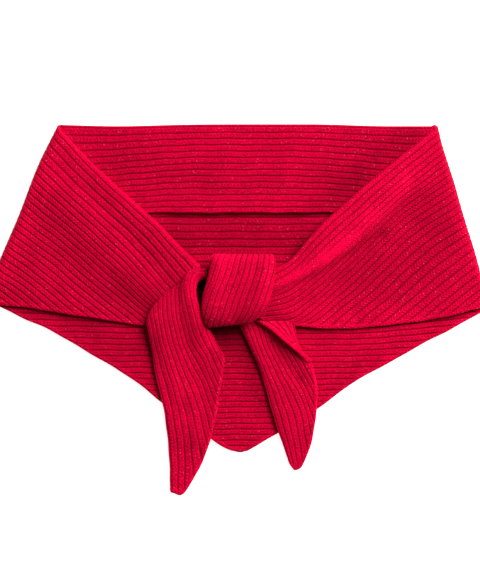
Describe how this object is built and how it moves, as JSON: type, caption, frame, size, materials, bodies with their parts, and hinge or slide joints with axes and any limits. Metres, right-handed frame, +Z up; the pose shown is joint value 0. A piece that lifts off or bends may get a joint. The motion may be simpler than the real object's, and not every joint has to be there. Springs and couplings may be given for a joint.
{
  "type": "knitted triangle scarf",
  "caption": "Rib-knit triangle scarf laid flat, long edge turned in, sides folded to the front and tied in a half knot with two pointed tails.",
  "frame": {"origin": "on the table under the middle of the scarf's box", "axes": "+X towards the viewer's right across the width, +Y towards the back of the neck, +Z up from the table"},
  "size_m": [0.4234, 0.3082, 0.0265],
  "materials": {
    "knit": "soft red rib knit with a sparse metallic thread"
  },
  "bodies": {
    "root": {"back_panel": "knit", "neck_turnover": "knit", "left_front": "knit", "right_front": "knit", "knot_core": "knit", "knot_band": "knit", "left_tail": "knit", "right_tail": "knit", "right_tail_turnback": "knit"}
  },
  "joints": []
}
